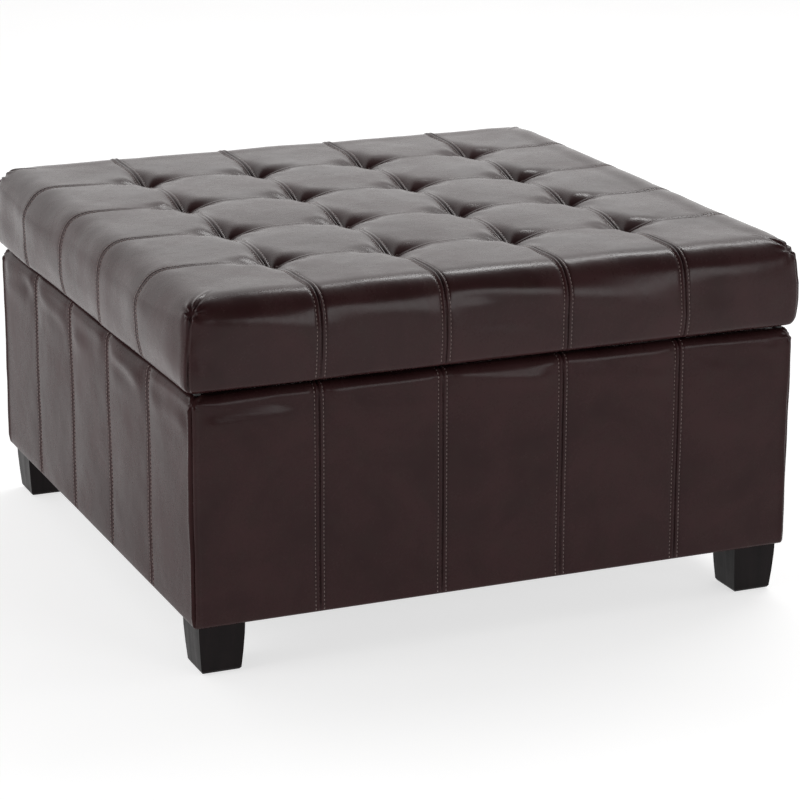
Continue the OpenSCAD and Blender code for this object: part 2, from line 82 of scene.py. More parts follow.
# Column offsets on either side of a seam, and in from a corner
SEAM_OFFSETS = [v * MM for v in (0, 0.8, 2.0, 3.2, 4.6, 6.0, 7.2, 9.5, 13, 18, 25, 34, 45, 58, 73)]
CORNER_OFFSETS = [v * MM for v in (0, 0.9, 1.9, 3.2, 4.8, 6.8, 9.2, 12, 16, 21, 28, 38, 50)]


# ---------- numbers ----------

def nearest_seam(v):
    """Signed distance of each value from the nearest seam."""
    gaps = v[..., None] - np.array(SEAMS)
    pick = np.abs(gaps).argmin(-1)
    return np.take_along_axis(gaps, pick[..., None], -1)[..., 0]


def smooth(v, low, high):
    """0 below low, 1 above high, and smooth between."""
    t = np.clip((v - low) / (high - low), 0, 1)
    return t * t * (3 - 2 * t)


def bell(v, width):
    return np.exp(-((v / width) ** 2))


def waves(points, seed, size, count=28):
    """Smooth random waves through space, about 1 high."""
    rng = np.random.default_rng(seed)
    k = rng.normal(size=(count, 3))
    k *= (2 * math.pi / size * rng.uniform(0.6, 1.5, count) / np.linalg.norm(k, axis=1))[:, None]
    phase = rng.uniform(0, 2 * math.pi, count)
    return np.sin(points @ k.T + phase).sum(1) / math.sqrt(count / 2)


def seam_stops(half):
    """Column positions across a side, close together at the seams and at the corners."""
    stops = {round(side * (half - o), 6) for o in CORNER_OFFSETS for side in (-1, 1)}
    for seam in SEAMS:
        for o in SEAM_OFFSETS:
            for v in (seam - o, seam + o):
                if abs(v) < half - CORNER_OFFSETS[-1] - 5 * MM:
                    stops.add(round(v, 6))
    for i in range(1, PANELS - 1):
        stops.add(round((i + 0.5 - PANELS / 2) * PITCH, 6))
    return np.array(sorted(stops))


def spline_matrix(xs, at):
    """Matrix that takes values at xs to a natural cubic spline's values at the points in at."""
    n = len(xs)
    h = np.diff(xs)
    left, right = np.eye(n), np.zeros((n, n))
    for i in range(1, n - 1):
        left[i, i - 1 : i + 2] = h[i - 1], 2 * (h[i - 1] + h[i]), h[i]
        right[i, i - 1 : i + 2] = 6 / h[i - 1], -6 / h[i - 1] - 6 / h[i], 6 / h[i]
    second = np.linalg.solve(left, right)
    k = np.clip(np.searchsorted(xs, at) - 1, 0, n - 2)
    a, b = (xs[k + 1] - at) / h[k], (at - xs[k]) / h[k]
    rows = np.arange(len(at))
    out = np.zeros((len(at), n))
    out[rows, k] += a
    out[rows, k + 1] += b
    out += ((a**3 - a) * h[k] ** 2 / 6)[:, None] * second[k]
    out += ((b**3 - b) * h[k] ** 2 / 6)[:, None] * second[k + 1]
    return out


# ---------- mesh building ----------

def make_mesh(name, points, faces, finish=None, smooth_faces=True):
    mesh = bpy.data.meshes.new(name)
    mesh.from_pydata(np.asarray(points).tolist(), [], [tuple(int(i) for i in f) for f in faces])
    mesh.polygons.foreach_set("use_smooth", [smooth_faces] * len(mesh.polygons))
    mesh.update()
    obj = bpy.data.objects.new(name, mesh)
    bpy.context.scene.collection.objects.link(obj)
    if finish:
        mesh.materials.append(finish)
    return obj


def mesh_normals(points, faces):
    """Area-weighted normal at every point."""
    f = np.asarray(faces)
    across, down = points[f[:, 2]] - points[f[:, 0]], points[f[:, 3]] - points[f[:, 1]]
    face_normal = np.cross(across, down)
    out = np.zeros_like(points)
    for k in range(4):
        np.add.at(out, f[:, k], face_normal)
    return out / np.maximum(np.linalg.norm(out, axis=1), 1e-12)[:, None]


def thicken(obj, thickness=LEATHER):
    solid = obj.modifiers.new("thickness", "SOLIDIFY")
    solid.thickness = thickness
    solid.offset = -1
    solid.use_rim = True
    return obj


def rounded_ring(stops, half, corner_r, straight):
    """Points (x, y) round a square with rounded corners, from the front left corner.

    There is one run of stops a side.
    """
    outer = stops[-1]
    s = np.where(
        np.abs(stops) <= straight,
        stops,
        np.sign(stops) * (straight + (np.abs(stops) - straight) * (half - straight) / (outer - straight)),
    )
    side = np.stack([s[:-1], np.full(len(s) - 1, -half)], 1)
    turn = np.array([[0, 1], [-1, 0]])
    ring = []
    for _ in range(4):
        ring.append(side)
        side = side @ turn
    ring = np.concatenate(ring)
    centre = half - corner_r
    beyond = (np.abs(ring) > centre).all(1)
    v = np.abs(ring[beyond]) - centre
    v *= corner_r / np.maximum(np.linalg.norm(v, axis=1), 1e-9)[:, None]
    ring[beyond] = np.sign(ring[beyond]) * (centre + v)
    return ring


class BoxSheet:
    """A sheet over a square block: a grid of stops by stops on top, and rings of points down the sides.

    profile lists (half, z, corner radius) of each ring. The first is the grid's own edge if there is a crown.
    """

    def __init__(self, stops, profile, crown=True):
        n = len(stops)
        self.n, self.crown, self.stops = n, crown, stops
        self.profile = np.array(profile)
        points, faces = [], []
        around = 4 * (n - 1)
        straight = SEAMS[-1] + 20 * MM
        rings = []
        if crown:
            x, y = np.meshgrid(stops, stops)
            points.append(np.stack([x, y, np.full_like(x, profile[0][1])], -1).reshape(-1, 3))
            grid = np.arange(n * n).reshape(n, n)
            self.grid = grid
            faces.append(
                np.stack([grid[:-1, :-1], grid[:-1, 1:], grid[1:, 1:], grid[1:, :-1]], -1).reshape(-1, 4)
            )
            rings.append(np.concatenate([grid[0, :-1], grid[:-1, -1], grid[-1, :0:-1], grid[:0:-1, 0]]))
        start = n * n if crown else 0
        for half, z, corner_r in profile[1 if crown else 0 :]:
            xy = rounded_ring(stops, half, corner_r, straight)
            points.append(np.column_stack([xy, np.full(around, z)]))
            rings.append(np.arange(start, start + around))
            start += around
        rings = np.array(rings)
        self.rings = rings
        up, down = rings[:-1], rings[1:]
        faces.append(
            np.stack([up, down, np.roll(down, -1, 1), np.roll(up, -1, 1)], -1).reshape(-1, 4)
        )
        self.points = np.concatenate(points)
        self.faces = np.concatenate(faces)
        self.side = np.full(len(self.points), -1)
        for k in range(len(rings) - (1 if crown else 0)):
            ring = rings[k + (1 if crown else 0)]
            self.side[ring] = np.arange(around) // (n - 1)

    def strip(self, side):
        """Indices of one side's points, ring by ring from corner to corner."""
        n = self.n
        columns = np.arange(side * (n - 1), (side + 1) * (n - 1) + 1) % (4 * (n - 1))
        return self.rings[:, columns]

    def arc(self):
        """How far each ring is down the profile."""
        step = np.hypot(np.diff(self.profile[:, 0]), np.diff(self.profile[:, 1]))
        return np.concatenate([[0], np.cumsum(step)])

    def seam_gaps(self):
        """Distances from the front-to-back and the left-to-right seams, large where there are none."""
        far = 1.0
        across = nearest_seam(self.points[:, 0])
        along = nearest_seam(self.points[:, 1])
        across[(self.side == 1) | (self.side == 3)] = far
        along[(self.side == 0) | (self.side == 2)] = far
        return across, along

    def corner_gap(self):
        """Distance along each ring from its nearest corner point, signed by side."""
        out = np.full(len(self.points), 1.0)
        for ring in self.rings:
            p = self.points[ring]
            for c in range(4):
                corner = c * (self.n - 1)
                reach = np.arange(-len(CORNER_OFFSETS), len(CORNER_OFFSETS) + 1)
                i = (corner + reach) % len(ring)
                gap = np.linalg.norm(p[i] - p[corner], axis=1) * np.sign(reach)
                out[ring[i]] = np.where(np.abs(gap) < np.abs(out[ring[i]]), gap, out[ring[i]])
        return out


def lid_profile(fine):
    """Rings from the crown's edge over the rolled edge, down the side and in under the lid."""
    rows = []
    if fine:
        angles = [90, 88.5, 86, 83, 79, 75, 71, 67, 63, 59.5, 57, 54.5, 52, 49.5, 47, 44.5, 42, 39, 36]
        angles += [32, 28, 24, 19, 14, 9, 4, 0]
    else:
        angles = np.linspace(90, 0, 12)
    for a in np.radians(angles):
        out, s = max(math.cos(a), 0) ** (2 / EDGE_FULLNESS), math.sin(a) ** (2 / EDGE_FULLNESS)
        corner = LID_CORNER_R * math.sqrt(1 - s) + 40 * MM * s * (1 - s)
        rows.append((LID_HALF - EDGE_W + EDGE_W * out, LID_Z1 - EDGE_H + EDGE_H * s, corner))
    top, bottom = LID_Z1 - EDGE_H, LID_Z0 + LID_HEM_R
    for z in np.linspace(top, bottom, 8 if fine else 6)[1:]:
        rows.append((LID_HALF, z, LID_CORNER_R))
    for a in np.radians(np.linspace(0, 90, 7 if fine else 4)[1:]):
        r = LID_HALF - LID_HEM_R + LID_HEM_R * math.cos(a)
        rows.append((r, bottom - LID_HEM_R * math.sin(a), LID_CORNER_R - (LID_HALF - r)))
    if fine:
        for r in np.linspace(LID_HALF - LID_HEM_R, LID_HALF - LID_TUCK, 5)[1:]:
            rows.append((r, LID_Z0, 3 * MM))
    return rows


def pits(x, y):
    """Depth of the tufts: pinched to a point, reaching further along the seams than across the pillows."""
    tx, ty = nearest_seam(x), nearest_seam(y)
    rho = np.hypot(np.hypot(tx, ty), 2.5 * MM)
    toward = (tx**2 - ty**2) / rho**2
    reach_seam = PIT_REACH_LONG + (PIT_REACH_CROSS - PIT_REACH_LONG) * (1 + toward) / 2
    reach = PIT_REACH_DIAGONAL + (reach_seam - PIT_REACH_DIAGONAL) * toward**2
    return PIT_DEPTH * np.clip(1 - rho / reach, 0, 1) ** 1.9


def pillow(v):
    """0 at the seams, 1 in mid panel and out to the edge."""
    gap = np.abs(nearest_seam(v))
    return np.sin(math.pi / 2 * np.clip(gap / (PITCH / 2), 0, 1))


def band(gap, strength=1.0):
    """Height across a topstitched seam: two rolls between the seam and the rows of stitches."""
    d = np.abs(gap)
    rolls = RIDGE * np.sin(math.pi * np.clip(d / ROW, 0, 1)) ** 0.8
    return strength * (rolls - GROOVE * bell(d, 0.9 * MM) - 0.6 * GROOVE * bell(d - ROW, 1.1 * MM))


def lid_form(sheet):
    """The cushion's broad shape: pits, pillows and the valleys along the seams."""
    p = sheet.points.copy()
    normal = mesh_normals(p, sheet.faces)
    on_top = sheet.side == -1
    x, y = p[:, 0], p[:, 1]
    puff_x = np.where((sheet.side == 1) | (sheet.side == 3), 1, pillow(x))
    puff_y = np.where((sheet.side == 0) | (sheet.side == 2), 1, pillow(y))
    down = smooth(p[:, 2], LID_Z0 + 5 * MM, LID_Z1 - 20 * MM)
    low = smooth(p[:, 2], LID_Z0, LID_Z0 + 25 * MM)
    height = PUFF * puff_x * puff_y * (0.35 + 0.65 * down) * low
    p += normal * height[:, None]
    p[on_top, 2] -= pits(x, y)[on_top]
    return p


def smooth_shift(coarse, fine, shift):
    """A coarse sheet's moves, carried to a fine sheet of the same form."""
    out = np.zeros((len(fine.points), 3))
    across = spline_matrix(coarse.stops, fine.stops)
    last = min(fine.arc()[-1], coarse.arc()[-1])
    inside = fine.arc() <= last + 1e-9
    down = spline_matrix(coarse.arc(), np.minimum(fine.arc(), last))
    for side in range(4):
        d = shift[coarse.strip(side)]
        carried = np.einsum("ab,bcd,ec->aed", down, d, across)
        fade = np.where(inside, 1.0, 0.0)[:, None, None]
        out[fine.strip(side)] = carried * fade
    d = shift[coarse.grid]
    out[fine.grid] = np.einsum("ab,bcd,ec->aed", across, d, across)
    return out


def blow_up(points, faces, hold, pressure=1.6, most=1.3 * MM, frames=20):
    """How far each point of a sheet moves when it is cloth with air under it.

    hold is each point's pin weight.
    """
    obj = make_mesh("cloth_work", points, faces)
    group = obj.vertex_groups.new(name="held")
    for level in np.unique(np.round(hold, 2)):
        if level > 0:
            members = np.nonzero(np.round(hold, 2) == level)[0]
            group.add([int(i) for i in members], float(level), "REPLACE")
    cloth = obj.modifiers.new("cloth", "CLOTH")
    settings = cloth.settings
    settings.quality = 6
    settings.mass = 0.4
    settings.tension_stiffness = settings.compression_stiffness = 18
    settings.shear_stiffness = 8
    settings.bending_stiffness = 1.5
    settings.vertex_group_mass = "held"
    settings.pin_stiffness = 4
    settings.use_pressure = True
    settings.uniform_pressure_force = pressure
    settings.shrink_min = -0.012
    settings.effector_weights.gravity = 0
    cloth.collision_settings.use_collision = False
    scene = bpy.context.scene
    for f in range(1, frames + 1):
        scene.frame_set(f)
    shown = obj.evaluated_get(bpy.context.evaluated_depsgraph_get()).data
    moved = np.zeros(len(points) * 3, np.float32)
    shown.vertices.foreach_get("co", moved)
    shift = moved.reshape(-1, 3) - points
    scene.frame_set(1)
    bpy.data.objects.remove(obj)
    for _ in range(3):
        total, count = np.zeros_like(shift), np.zeros((len(shift), 1))
        middle = shift[faces].mean(1)
        for k in range(4):
            np.add.at(total, faces[:, k], middle)
            np.add.at(count, faces[:, k], 1)
        shift = total / np.maximum(count, 1)
    return shift * most / max(np.linalg.norm(shift, axis=1).max(), 1e-6)


def pucker(gap, drop):
    """Gathers round the point where a corner seam runs out: a small dimple with pleats fanning from it."""
    rho, angle = np.hypot(gap, drop), np.arctan2(drop, gap)
    pleats = 1.9 * MM * np.cos(7 * angle + 0.6) * bell(rho - 9 * MM, 5.5 * MM)
    return pleats - 6 * MM * bell(rho, 6 * MM)


def lid_surface():
    fine = BoxSheet(seam_stops(LID_HALF - EDGE_W), lid_profile(True))
    steps = int(round(2 * (LID_HALF - EDGE_W) / (8.5 * MM)))
    coarse = BoxSheet(np.linspace(-1, 1, steps + 1) * (LID_HALF - EDGE_W), lid_profile(False))
    start = lid_form(coarse)
    across, along = coarse.seam_gaps()
    tuft = bell(np.hypot(nearest_seam(coarse.points[:, 0]), nearest_seam(coarse.points[:, 1])), 14 * MM)
    tuft[coarse.side != -1] = 0
    hold = np.maximum(tuft, 0.25 * bell(across, 7 * MM))
    hold[coarse.rings[-4:].ravel()] = 1
    shift = blow_up(start, coarse.faces, hold)
    points = lid_form(fine) + smooth_shift(coarse, fine, shift)
    normal = mesh_normals(points, fine.faces)
    across, along = fine.seam_gaps()
    on_top = fine.side == -1
    # The front-to-back seams run through, and the left-to-right ones stop at them
    crossing = smooth(np.abs(across), 6 * MM, 10 * MM)
    at_tuft = bell(np.hypot(nearest_seam(points[:, 0]), nearest_seam(points[:, 1])), 48 * MM)
    outer = smooth(np.abs(points[:, :2]).max(1), SEAMS[-1] + 40 * MM, LID_HALF - EDGE_W)
    drawn = np.where(on_top, 0.1 + 1.15 * at_tuft, 1)
    drawn = drawn * (1 - outer) + outer
    cross_strength = np.where(on_top, 0.08 + 0.25 * at_tuft + 0.25 * outer, 0.35)
    relief = band(across, drawn) + band(along, cross_strength) * crossing
    valley = VALLEY * np.where(on_top, at_tuft + 0.5 * outer, 0.5)
    relief -= valley * np.exp(-np.abs(across) / (7 * MM))
    relief -= 0.4 * valley * np.exp(-np.abs(along) / (4 * MM)) * crossing
    under = smooth(points[:, 2], LID_Z0 + 1 * MM, LID_Z0 + 8 * MM)
    relief *= under
    gap = fine.corner_gap()
    z = fine.points[:, 2]
    pucker_z = LID_Z1 - 14 * MM
    in_side = (~on_top).astype(float)
    seam = smooth(-z, -pucker_z, -(pucker_z - 4 * MM)) * under * in_side
    relief += seam * (1.0 * MM * bell(np.abs(gap) - 4 * MM, 2.2 * MM) - 2.6 * MM * bell(gap, 1.5 * MM))
    relief += pucker(gap, (z - pucker_z) * 1.15) * in_side
    relief += 0.45 * MM * waves(points, 3, 0.16) * under + 0.12 * MM * waves(points, 4, 0.045) * under
    # Soft slanting folds in the leather of the sides
    slant = points * np.array([0.4, 0.4, 1.2]) + points[:, [2, 2, 0]] * 0.3
    relief += 1.5 * MM * waves(slant, 5, 0.11) * in_side * under * smooth(LID_Z1 - z, 8 * MM, 34 * MM)
    relief += 1.8 * MM * smooth(z, LID_Z1 - 45 * MM, LID_Z1 - 4 * MM)
    # The padding is fullest in the right edge, and a little fuller at the back
    x, y = fine.points[:, 0], fine.points[:, 1]
    roll = smooth(np.maximum(np.abs(x), np.abs(y)), LID_HALF - EDGE_W - 12 * MM, LID_HALF - EDGE_W + 26 * MM)
    roll *= smooth(z, LID_Z1 - 42 * MM, LID_Z1 - 16 * MM)
    right_roll = 3.0 * MM * smooth(x - np.abs(y), 0, 50 * MM)
    back_roll = 1.2 * MM * smooth(y - np.abs(x), 0, 50 * MM)
    relief += roll * (right_roll + back_roll)
    relief = np.where(on_top, relief, np.maximum(relief, -3.0 * MM))
    # The sides belly out a little, most of all below the rolled edge
    belly = smooth(z, LID_Z0, LID_Z0 + 40 * MM) * smooth(LID_Z1 - z, 0, 50 * MM)
    off_seam = smooth(np.minimum(np.abs(gap), np.abs(across) + np.abs(along)), 0, 60 * MM)
    relief += 3.4 * MM * belly * in_side * off_seam
    return fine, points + normal * relief[:, None], coarse, start + shift


# ---------- stitches ----------

SIDES = 5


def spindle():
    """One stitch along +X: two rings of points between two tips that dip into the leather."""
    rings, faces = [[-0.5, 0, -0.9]], []
    for x in (-0.28, 0.28):
        for k in range(SIDES):
            a = 2 * math.pi * k / SIDES
            rings.append([x, math.cos(a), math.sin(a)])
    rings.append([0.5, 0, -0.9])
    last = len(rings) - 1
    for k in range(SIDES):
        m = (k + 1) % SIDES
        faces += [(0, 1 + m, 1 + k), (last, 1 + SIDES + k, 1 + SIDES + m)]
        faces += [(1 + k, 1 + m, 1 + SIDES + m), (1 + k, 1 + SIDES + m, 1 + SIDES + k)]
    size = np.array([STITCH_LENGTH, THREAD_R, THREAD_R])
    return np.array(rings) * size, np.array(faces)


def stitches_along(path, normal, skip=None):
    """Points of the stitches along a line on the surface. skip(middles) is true where there are none."""
    step = np.linalg.norm(np.diff(path, axis=0), axis=1)
    arc = np.concatenate([[0], np.cumsum(step)])
    count = int(arc[-1] / STITCH_PITCH)
    at = (np.arange(count) + 0.5) * arc[-1] / count

    def sample(distance):
        return np.stack([np.interp(distance, arc, path[:, k]) for k in range(3)], 1)

    middle = sample(at)
    along = sample(at + STITCH_LENGTH / 2) - sample(at - STITCH_LENGTH / 2)
    up = np.stack([np.interp(at, arc, normal[:, k]) for k in range(3)], 1)
    along /= np.linalg.norm(along, axis=1)[:, None]
    across = np.cross(up, along)
    across /= np.linalg.norm(across, axis=1)[:, None]
    up = np.cross(along, across)
    keep = np.ones(count, bool) if skip is None else ~skip(middle)
    shape, _ = spindle()
    axes = np.stack([along, across, up], 1)[keep]
    return middle[keep][:, None, :] + up[keep][:, None, :] * 0.15 * MM + shape @ axes


def stitch_mesh(name, runs, finish):
    groups = np.concatenate(runs)
    _, faces = spindle()
    count, size = groups.shape[:2]
    all_faces = (faces[None] + (np.arange(count) * size)[:, None, None]).reshape(-1, 3)
    return make_mesh(name, groups.reshape(-1, 3), all_faces, finish)


# ---------- materials ----------

class Finish:
    """A node material, and short ways of adding nodes to it."""

    def __init__(self, name):
        self.material = bpy.data.materials.new(name)
        self.material.use_nodes = True
        self.nodes, self.links = self.material.node_tree.nodes, self.material.node_tree.links
        self.shader = self.nodes["Principled BSDF"]
        self.where = self.nodes.new("ShaderNodeTexCoord").outputs["Object"]

    def add(self, kind, values=(), **settings):
        node = self.nodes.new("ShaderNode" + kind)
        for key, value in settings.items():
            setattr(node, key, value)
        for key, value in dict(values).items():
            if isinstance(value, bpy.types.NodeSocket):
                self.links.new(value, node.inputs[key])
            else:
                node.inputs[key].default_value = value
        return node

    def stretched(self, scale):
        return self.add("Mapping", {"Vector": self.where, "Scale": scale}).outputs[0]

    def noise(self, scale, detail=3, rough=0.55, vector=None, distortion=0):
        values = {"Vector": vector or self.where, "Scale": scale, "Detail": detail}
        values.update({"Roughness": rough, "Distortion": distortion})
        return self.add("TexNoise", values).outputs["Fac"]

    def cells(self, scale, feature="F1", vector=None):
        values = {"Vector": vector or self.where, "Scale": scale}
        return self.add("TexVoronoi", values, feature=feature).outputs["Distance"]

    def spread(self, value, low, high, to_low=0.0, to_high=1.0):
        values = {"Value": value, "From Min": low, "From Max": high, "To Min": to_low, "To Max": to_high}
        return self.add("MapRange", values).outputs[0]

    def math(self, operation, a, b):
        return self.add("Math", {0: a, 1: b}, operation=operation).outputs[0]

    def blend(self, amount, a, b):
        node = self.add("Mix", data_type="RGBA")
        for socket, value in ((node.inputs[0], amount), (node.inputs[6], a), (node.inputs[7], b)):
            if isinstance(value, bpy.types.NodeSocket):
                self.links.new(value, socket)
            else:
                socket.default_value = (*value, 1) if len(value) == 3 else value
        return node.outputs[2]

    def bump(self, height, distance, strength=1.0, under=None):
        values = {"Height": height, "Distance": distance, "Strength": strength}
        if under:
            values["Normal"] = under
        return self.add("Bump", values).outputs[0]

    def done(self, colour, roughness, normal=None, **sockets):
        for key, value in {"Base Color": colour, "Roughness": roughness, "Normal": normal}.items():
            if isinstance(value, bpy.types.NodeSocket):
                self.links.new(value, self.shader.inputs[key])
            elif value is not None:
                self.shader.inputs[key].default_value = (*value, 1) if key == "Base Color" else value
        for key, value in sockets.items():
            self.shader.inputs[key.replace("_", " ").title().replace("Ior", "IOR")].default_value = value
        return self.material


def leather_finish(name, ior):
    f = Finish(name)
    mottle = f.noise(9, 4, 0.6, distortion=0.6)
    patch = f.noise(34, 3, 0.6)
    brown = f.blend(f.spread(mottle, 0.35, 0.65), (0.024, 0.0082, 0.0086), (0.035, 0.0130, 0.0136))
    brown = f.blend(f.spread(patch, 0.45, 0.75, 0, 0.45), brown, (0.028, 0.0145, 0.0125))
    pebbles = f.cells(620, "SMOOTH_F1")
    creases = f.noise(160, 4, 0.65)
    normal = f.bump(pebbles, 0.0001, 0.2)
    normal = f.bump(creases, 0.00014, 0.35, normal)
    normal = f.bump(f.noise(22, 2, 0.5), 0.0016, 0.35, normal)
    rough = f.math("ADD", f.spread(mottle, 0.3, 0.7, 0.21, 0.28), f.spread(creases, 0.3, 0.7, 0.0, 0.05))
    return f.done(brown, rough, normal, ior=ior)


def thread_finish():
    f = Finish("brown_thread")
    ply = f.add("TexWave", {"Vector": f.where, "Scale": 900, "Distortion": 0.5}, bands_direction="DIAGONAL")
    # Darker in the grooves of the twist and lighter on its ridges, following the bump: painted shade and
    # painted highlight.
    colour = f.blend(ply.outputs["Fac"], (0.15, 0.100, 0.092), (0.27, 0.195, 0.180))
    return f.done(colour, 0.42, f.bump(ply.outputs["Fac"], 0.0001, 0.4), sheen_weight=0.3)


def wood_finish(name, light, dark, rough, grain=(4, 60, 60), gloss=0.5):
    f = Finish(name)
    lines = f.noise(1, 6, 0.65, f.stretched(grain), 0.8)
    pores = f.noise(1, 3, 0.7, f.stretched([g * 9 for g in grain]))
    colour = f.blend(f.spread(lines, 0.35, 0.68), light, dark)
    colour = f.blend(f.spread(pores, 0.55, 0.75, 0, 0.35), colour, [c * 0.6 for c in dark])
    normal = f.bump(f.math("ADD", lines, pores), 0.0003, 0.35)
    roughness = f.spread(lines, 0.3, 0.7, rough - 0.06, rough + 0.08)
    return f.done(colour, roughness, normal, specular_ior_level=gloss)


def board_finish():
    f = Finish("chip_board")
    chips = f.add("TexVoronoi", {"Vector": f.stretched((90, 90, 260)), "Scale": 1.0})
    colour = f.blend(f.spread(f.noise(40, 4), 0.3, 0.7), (0.42, 0.28, 0.15), (0.60, 0.44, 0.27))
    colour = f.blend(f.spread(chips.outputs["Distance"], 0.0, 0.8, 0.0, 0.5), colour, (0.72, 0.56, 0.37))
    return f.done(colour, 0.75, f.bump(chips.outputs["Distance"], 0.0004, 0.4))


def metal_finish(name, colour, rough):
    f = Finish(name)
    drawn = f.noise(1, 3, 0.6, f.stretched((120, 120, 900)))
    stain = f.noise(60, 4)
    tone = f.blend(f.spread(stain, 0.3, 0.7), [c * 0.82 for c in colour], colour)
    drawn_rough = f.spread(drawn, 0.3, 0.7, rough - 0.08, rough + 0.08)
    roughness = f.math("ADD", drawn_rough, f.spread(stain, 0.4, 0.8, 0, 0.12))
    return f.done(tone, roughness, f.bump(drawn, 0.00008, 0.4), metallic=1.0)


def fabric_finish():
    f = Finish("lining_fabric")
    dots = f.cells(420, "F1")
    fibres = f.noise(1, 4, 0.7, f.stretched((900, 220, 500)))
    colour = f.blend(f.spread(fibres, 0.3, 0.7), (0.010, 0.010, 0.012), (0.030, 0.030, 0.034))
    normal = f.bump(dots, 0.0004, 0.5, f.bump(fibres, 0.0004, 0.4))
    return f.done(colour, 0.88, normal, sheen_weight=0.35, specular_ior_level=0.25)


def foam_finish():
    f = Finish("cut_foam")
    pores = f.cells(700, "F1")
    age = f.noise(12, 3)
    colour = f.blend(f.spread(age, 0.35, 0.7), (0.80, 0.70, 0.42), (0.86, 0.80, 0.58))
    # Darker inside the pores: painted shade in the foam's hollows.
    colour = f.blend(f.spread(pores, 0.0, 0.5, 0.35, 0.0), colour, (0.55, 0.46, 0.26))
    return f.done(colour, 0.92, f.bump(pores, 0.0006, 0.6), specular_ior_level=0.2)


def twine_finish():
    f = Finish("waxed_twine")
    lay = f.add("TexWave", {"Vector": f.where, "Scale": 600, "Distortion": 1.0}, bands_direction="DIAGONAL")
    # Darker in the grooves of the lay and lighter on its ridges, following the bump: painted shade and
    # painted highlight.
    colour = f.blend(lay.outputs["Fac"], (0.45, 0.38, 0.28), (0.70, 0.62, 0.48))
    return f.done(colour, 0.7, f.bump(lay.outputs["Fac"], 0.0003, 0.6))


def moulded_finish(name, colour, rough):
    f = Finish(name)
    speck = f.noise(500, 3, 0.6)
    tone = f.blend(f.spread(f.noise(30, 3), 0.3, 0.7), [c * 0.85 for c in colour], colour)
    return f.done(tone, f.spread(speck, 0.3, 0.7, rough - 0.05, rough + 0.07), f.bump(speck, 0.0001, 0.4))


FINISHES = {
    "leather": leather_finish("espresso_leather", 1.28),
    # The base's front and back walls and its left and right sides take copies of the leather with a lower IOR
    # than the lid, so weaker reflection: painted shade, darkest on the left and right sides.
    "front_back_leather_painted_shade": leather_finish("espresso_leather_walls_painted_shade", 1.24),
    "left_right_leather_painted_shade": leather_finish("espresso_leather_sides_painted_shade", 1.15),
    "thread": thread_finish(),
    "foot_finish": wood_finish(
        "dark_stained_foot", (0.0085, 0.0050, 0.0055), (0.004, 0.0026, 0.0028), 0.42, (60, 60, 5), 0.12
    ),
    "board": board_finish(),
    "softwood": wood_finish("planed_pine", (0.62, 0.43, 0.23), (0.42, 0.25, 0.11), 0.6),
    "foam": foam_finish(),
    "lining_fabric": fabric_finish(),
    "twine": twine_finish(),
    "steel": metal_finish("zinc_steel", (0.62, 0.63, 0.65), 0.32),
    "pin_steel": metal_finish("pin_steel", (0.50, 0.50, 0.52), 0.26),
    "glide_plastic": moulded_finish("glide_plastic", (0.60, 0.59, 0.55), 0.42),
    "bumper_rubber": moulded_finish("bumper_rubber", (0.025, 0.025, 0.025), 0.75),
}


def piece(obj, body, slot, *nodes):
    """Puts a finished piece on its body and hides the CAD nodes it stands for. slot is not used."""
    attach(obj, body)
    if nodes:
        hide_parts(*nodes)
    return obj


for part in frame["record"]["subparts"]:
    slots = frame["nodes"][part["node"]].data.materials
    slots.clear()
    slots.append(FINISHES[part["material_slot"]])

# ---------- lid ----------

lid_sheet, lid_points, core_sheet, core_points = lid_surface()
lid_cover = make_mesh("lid_cover_leather", lid_points, lid_sheet.faces, FINISHES["leather"])
thicken(lid_cover)
piece(lid_cover, "lid", "leather", "lid_cover")


def lid_seam_path(sheet, side, column):
    """A column's points from the bottom of one side, over the top and down the opposite side."""
    n = sheet.n
    up = sheet.strip(side)[:, column][::-1]
    down = sheet.strip((side + 2) % 4)[:, n - 1 - column]
    inner = sheet.grid[1:-1, column] if side == 0 else sheet.grid[column, 1:-1][::-1]
    return np.concatenate([up, inner, down])


def hidden_stitches(p):
    """Left-to-right stitches sink out of sight on top."""
    return (p[:, 2] > LID_Z1 - 12 * MM) & (np.abs(p[:, 0]) < LID_HALF - EDGE_W)


def hidden_long_stitches(p):
    """Front-to-back stitches show round the tufts, and sink out of sight between them."""
    return (np.abs(nearest_seam(p[:, 1])) > 62 * MM) & (np.abs(p[:, 1]) < SEAMS[-1])


def lid_stitches():
    normal = mesh_normals(lid_points, lid_sheet.faces)
    runs = []
    for side in (0, 1):
        for seam in SEAMS:
            for row in (-ROW, ROW):
                column = int(np.abs(lid_sheet.stops - (seam + row)).argmin())
                path = lid_seam_path(lid_sheet, side, column)
                path = path[lid_points[path, 2] > LID_Z0 + 4 * MM]
                skip = (hidden_long_stitches, hidden_stitches)[side]
                runs.append(stitches_along(lid_points[path], normal[path], skip))
    return stitch_mesh("lid_topstitching", runs, FINISHES["thread"])


piece(lid_stitches(), "lid", "leather")

# ---------- lid foam and padding ----------

FOAM_INSET = 5 * MM


def closed_ring(name, section, corner_r, finish):
    """A pad that runs round a square.

    section lists the (half, z) corners of its cross-section, top outer first.
    """
    stops = np.linspace(-1, 1, 61) * section[0][0]
    sheet = BoxSheet(stops, [(half, z, corner_r) for half, z in section], crown=False)
    first, last = sheet.rings[0], sheet.rings[-1]
    joint = np.stack([last, first, np.roll(first, -1), np.roll(last, -1)], 1)
    uneven = 0.4 * MM * waves(sheet.points, 21, 0.07)[:, None]
    inward = -sheet.points * np.array([1, 1, 0]) / BASE_HALF
    points = sheet.points + inward * np.abs(uneven)
    return make_mesh(name, points, np.concatenate([sheet.faces, joint]), finish)


